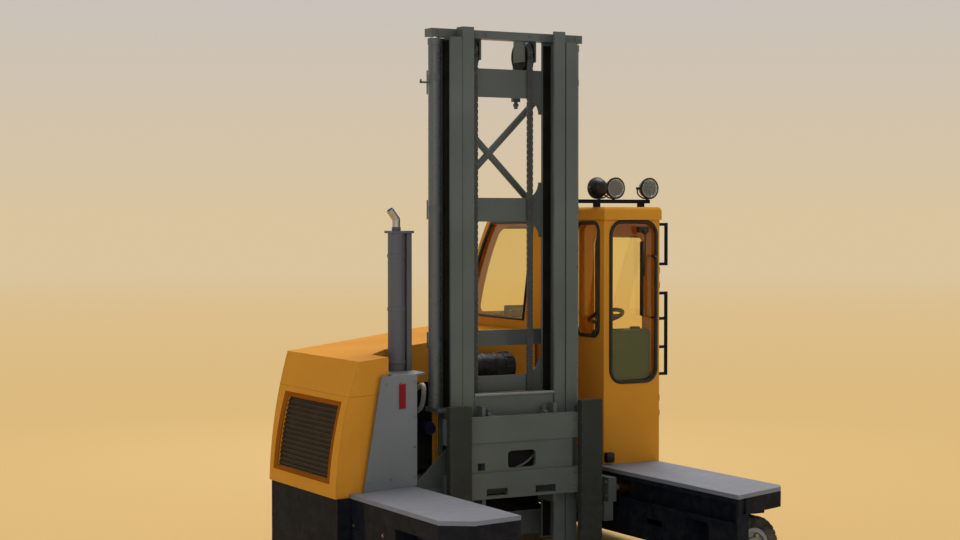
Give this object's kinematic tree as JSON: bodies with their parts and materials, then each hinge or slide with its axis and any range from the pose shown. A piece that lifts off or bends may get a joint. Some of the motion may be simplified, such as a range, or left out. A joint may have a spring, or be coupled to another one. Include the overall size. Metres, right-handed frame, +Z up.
{
  "type": "four-way side loader forklift truck",
  "caption": "Side loader truck with a reaching two-stage mast between two load arms, an engine end under a hinged hood and a narrow glazed cab.",
  "frame": {"origin": "on the ground under the middle of the truck's outline", "axes": "+X towards the cab end, -Y towards the load side with the forks, +Z up"},
  "size_m": [2.64, 3.08, 3.36],
  "materials": {
    "chassis_paint": "satin dark paint",
    "mast_paint": "satin grey paint",
    "deck_paint": "textured light grey paint",
    "panel_paint": "satin grey paint",
    "cover_paint": "glossy orange paint",
    "grille_mesh": "matt mesh",
    "engine_iron": "painted casting",
    "reflector_red": "glossy reflector",
    "exhaust_steel": "heat-proof paint",
    "tailpipe_chrome": "polished",
    "filter_plastic": "moulded",
    "cab_glass": "tinted safety glass",
    "seat_cloth": "woven cloth",
    "lamp_body": "moulded housing",
    "roller_bronze": "turned bronze",
    "rod_chrome": "ground chrome",
    "chain_steel": "oiled steel",
    "fork_steel": "painted forged steel",
    "tyre": "solid rubber",
    "rim_paint": "painted steel"
  },
  "bodies": {
    "chassis": {"load_arm_left": "chassis_paint", "load_arm_right": "chassis_paint", "platform_left": "deck_paint", "platform_right": "deck_paint", "panel_base": "deck_paint", "rear_frame": "chassis_paint", "engine_block": "engine_iron", "radiator": "engine_iron", "engine_enclosure": "cover_paint", "radiator_grille": "grille_mesh", "side_panel": "panel_paint", "side_reflector": "reflector_red", "muffler": "exhaust_steel", "tailpipe": "tailpipe_chrome", "air_filter": "filter_plastic", "cab_body": "cover_paint", "cab_roof": "cover_paint", "cab_glass": "cab_glass", "grab_rails": "chassis_paint", "driver_seat": "seat_cloth", "seat_pedestal": "filter_plastic", "control_console": "filter_plastic", "steering_column": "filter_plastic", "lamp_bar": "chassis_paint", "work_lamps": "lamp_body", "reach_barrels": "mast_paint"},
    "hood": {"engine_hood": "cover_paint"},
    "door": {"cab_door": "cover_paint", "door_glass": "cab_glass"},
    "wheel_hand": {"steering_wheel": "filter_plastic"},
    "reach": {"reach_frame": "mast_paint", "reach_rollers": "roller_bronze", "reach_rods": "rod_chrome", "outer_upright_left": "mast_paint", "outer_upright_right": "mast_paint", "outer_mast_ties": "mast_paint", "lift_barrels": "mast_paint", "chain_rear": "chain_steel"},
    "inner_mast": {"inner_upright_left": "mast_paint", "inner_upright_right": "mast_paint", "inner_mast_plates": "mast_paint", "mast_crosshead": "mast_paint", "chain_sheaves": "chain_steel", "lift_rods": "rod_chrome"},
    "carriage": {"carriage_frame": "mast_paint", "chain_front": "chain_steel"},
    "fork_l": {"fork_left": "fork_steel"},
    "fork_r": {"fork_right": "fork_steel"},
    "steer_left": {"knuckle_left": "chassis_paint"},
    "road_wheel_left": {"tyre_left": "tyre", "rim_left": "rim_paint"},
    "steer_right": {"knuckle_right": "chassis_paint"},
    "road_wheel_right": {"tyre_right": "tyre", "rim_right": "rim_paint"},
    "steer_rear": {"knuckle_rear": "chassis_paint"},
    "road_wheel_rear": {"tyre_rear": "tyre", "rim_rear": "rim_paint"}
  },
  "joints": [
    {"name": "mast_reach", "type": "slide", "parent": "chassis", "child": "reach", "axis": [0, -1, 0], "range_m": [0, 1.05]},
    {"name": "mast_lift", "type": "slide", "parent": "reach", "child": "inner_mast", "axis": [0, 0, 1], "range_m": [0, 1.6], "deforming": ["chain_rear"]},
    {"name": "carriage_lift", "type": "slide", "parent": "inner_mast", "child": "carriage", "axis": [0, 0, 1], "range_m": [0, 1.6], "deforming": ["chain_front"]},
    {"name": "fork_left_shift", "type": "slide", "parent": "carriage", "child": "fork_l", "axis": [1, 0, 0], "range_m": [0, 0.2]},
    {"name": "fork_right_shift", "type": "slide", "parent": "carriage", "child": "fork_r", "axis": [-1, 0, 0], "range_m": [0, 0.2]},
    {"name": "hood_hinge", "type": "hinge", "parent": "chassis", "child": "hood", "pos_m": [-0.59934, 1.09807, 1.13], "axis": [-0.8749, -0.4842, 0], "range_deg": [0, 50]},
    {"name": "door_hinge", "type": "hinge", "parent": "chassis", "child": "door", "pos_m": [1.252, 0.145, 1.4], "axis": [0, 0, -1], "range_deg": [0, 95]},
    {"name": "hand_wheel", "type": "hinge", "parent": "chassis", "child": "wheel_hand", "pos_m": [1.05, 0.44, 1.5], "axis": [0, 0.4075, 0.9132], "continuous": true},
    {"name": "steering_left", "type": "hinge", "parent": "chassis", "child": "steer_left", "pos_m": [-1.05, -1.125, 0.4], "axis": [0, 0, 1], "range_deg": [-100, 10]},
    {"name": "spin_left", "type": "hinge", "parent": "steer_left", "child": "road_wheel_left", "pos_m": [-1.05, -1.125, 0.19], "axis": [0, 1, 0], "continuous": true},
    {"name": "steering_right", "type": "hinge", "parent": "chassis", "child": "steer_right", "pos_m": [1.05, -1.125, 0.4], "axis": [0, 0, 1], "range_deg": [-10, 100]},
    {"name": "spin_right", "type": "hinge", "parent": "steer_right", "child": "road_wheel_right", "pos_m": [1.05, -1.125, 0.19], "axis": [0, 1, 0], "continuous": true},
    {"name": "steering_rear", "type": "hinge", "parent": "chassis", "child": "steer_rear", "pos_m": [0.16, 1.06, 0.4], "axis": [0, 0, 1], "range_deg": [-95, 95]},
    {"name": "spin_rear", "type": "hinge", "parent": "steer_rear", "child": "road_wheel_rear", "pos_m": [0.16, 1.06, 0.228], "axis": [0, 1, 0], "continuous": true}
  ],
  "couplings": [
    {"joint": "carriage_lift", "follows": "mast_lift", "ratio": 1}
  ]
}
